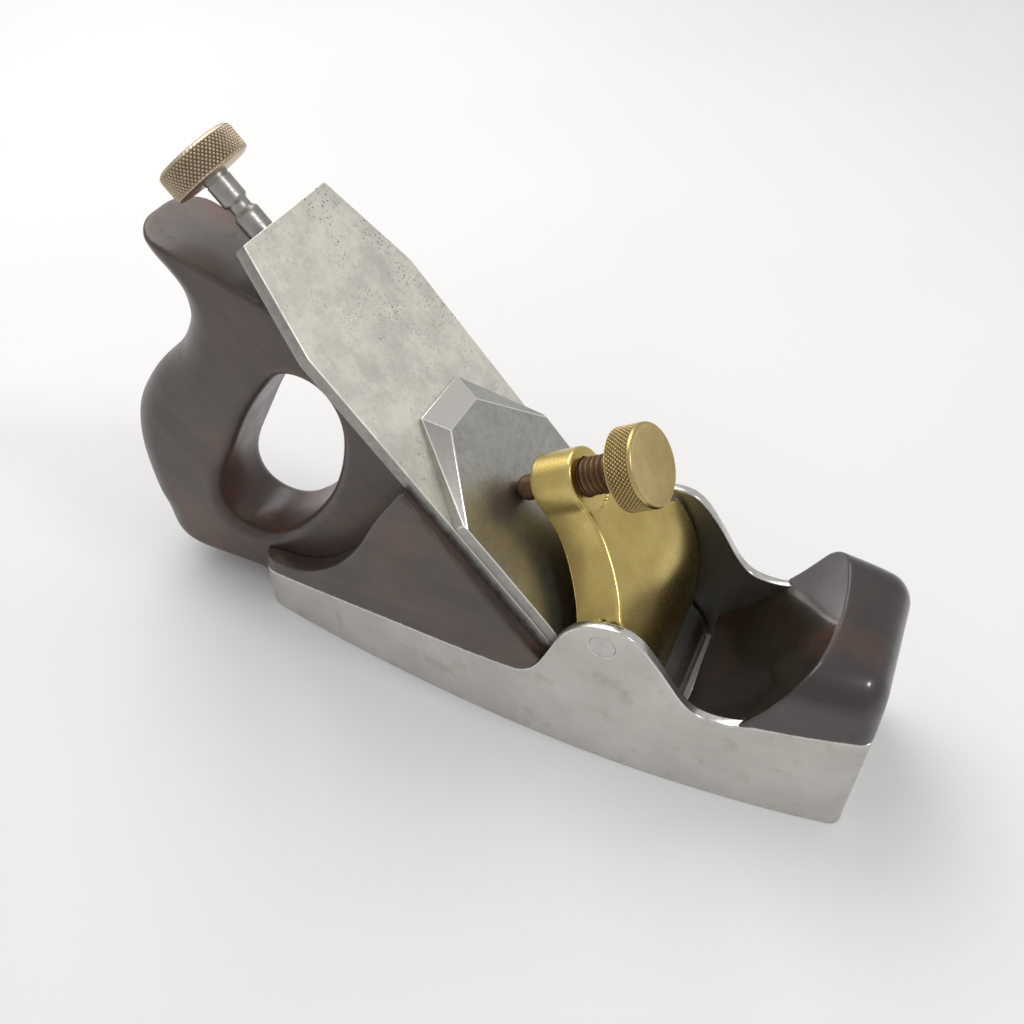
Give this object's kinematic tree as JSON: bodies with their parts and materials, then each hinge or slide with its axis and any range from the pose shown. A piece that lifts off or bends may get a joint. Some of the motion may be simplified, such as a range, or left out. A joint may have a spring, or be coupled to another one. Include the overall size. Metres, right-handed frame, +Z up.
{
  "type": "infill smoothing plane",
  "caption": "Coffin-shaped infill smoothing plane with steel body, rosewood handle and front bun, gunmetal lever cap and screw adjuster.",
  "frame": {"origin": "centre of the length of the sole, on its flat face", "axes": "+X towards the toe, +Y towards the left side of the plane, +Z up from the sole"},
  "size_m": [0.2593, 0.0656, 0.1692],
  "materials": {
    "body_steel": "satin, polished top edges, faint stains",
    "iron_steel": "ground grey with dark pitting",
    "cap_iron_steel": "darker grey, bright bevels",
    "spindle_steel": "turned satin",
    "pin_steel": "filed flush",
    "screw_steel": "filed flush",
    "brass": "dull",
    "knob_brass": "knurled rim, worn face",
    "gunmetal": "worn satin",
    "screw_bronze": "dark, threaded",
    "rosewood": "dark polished rosewood",
    "rosewood_tote": "dark polished rosewood"
  },
  "bodies": {
    "body": {"sole_front": "body_steel", "sole_rear": "body_steel", "side_plate_right": "body_steel", "side_plate_left": "body_steel", "front_bun": "rosewood", "tote": "rosewood_tote", "rear_cheek_right": "rosewood", "rear_cheek_left": "rosewood", "bun_screws": "screw_steel", "tote_screws": "screw_steel", "lever_cap_pin": "pin_steel", "adjuster_bed_plate": "pin_steel", "bed_plate_screws": "screw_steel"},
    "swivel": {"adjuster_swivel": "brass"},
    "spindle": {"adjuster_spindle": "spindle_steel"},
    "adjuster_turn": {"adjuster_knob": "knob_brass"},
    "iron": {"cutting_iron": "iron_steel", "cap_iron": "cap_iron_steel", "cap_iron_screw": "screw_steel", "adjuster_carriage": "brass"},
    "lever_cap": {"lever_cap": "gunmetal"},
    "lever_screw": {"lever_cap_screw": "screw_bronze"},
    "lever_knob": {"lever_cap_knob": "knob_brass"}
  },
  "joints": [
    {"name": "adjuster_swing", "type": "hinge", "parent": "body", "child": "swivel", "pos_m": [-0.04375, 0, 0.07713], "axis": [0.7393, 0, 0.6734], "range_deg": [-0.12, 0.12]},
    {"name": "spindle_advance", "type": "slide", "parent": "swivel", "child": "spindle", "axis": [-0.6734, 0, 0.7393], "range_m": [-0.00078, 0.00469]},
    {"name": "adjuster_knob_turn", "type": "hinge", "parent": "spindle", "child": "adjuster_turn", "pos_m": [-0.10905, 0, 0.15833], "axis": [-0.6734, 0, 0.7393], "range_deg": [-225, 1350]},
    {"name": "iron_feed", "type": "slide", "parent": "swivel", "child": "iron", "axis": [-0.6734, 0, 0.7393], "range_m": [-0.0005, 0.003]},
    {"name": "lever_cap_tilt", "type": "hinge", "parent": "body", "child": "lever_cap", "pos_m": [0.02633, 0, 0.0544], "axis": [0, -1, 0], "range_deg": [0, 4]},
    {"name": "lever_screw_travel", "type": "slide", "parent": "lever_cap", "child": "lever_screw", "axis": [0.8496, 0, 0.5274], "range_m": [0, 0.003]},
    {"name": "lever_knob_turn", "type": "hinge", "parent": "lever_screw", "child": "lever_knob", "pos_m": [-0.01358, 0, 0.07283], "axis": [0.8496, 0, 0.5274], "range_deg": [0, 720]}
  ],
  "couplings": [
    {"joint": "adjuster_knob_turn", "follows": "iron_feed", "rad_per_m": 7854},
    {"joint": "spindle_advance", "follows": "iron_feed", "ratio": 1.5625},
    {"joint": "lever_knob_turn", "follows": "lever_screw_travel", "rad_per_m": 4188.8},
    {"joint": "lever_cap_tilt", "follows": "lever_screw_travel", "rad_per_m": 23.271}
  ]
}
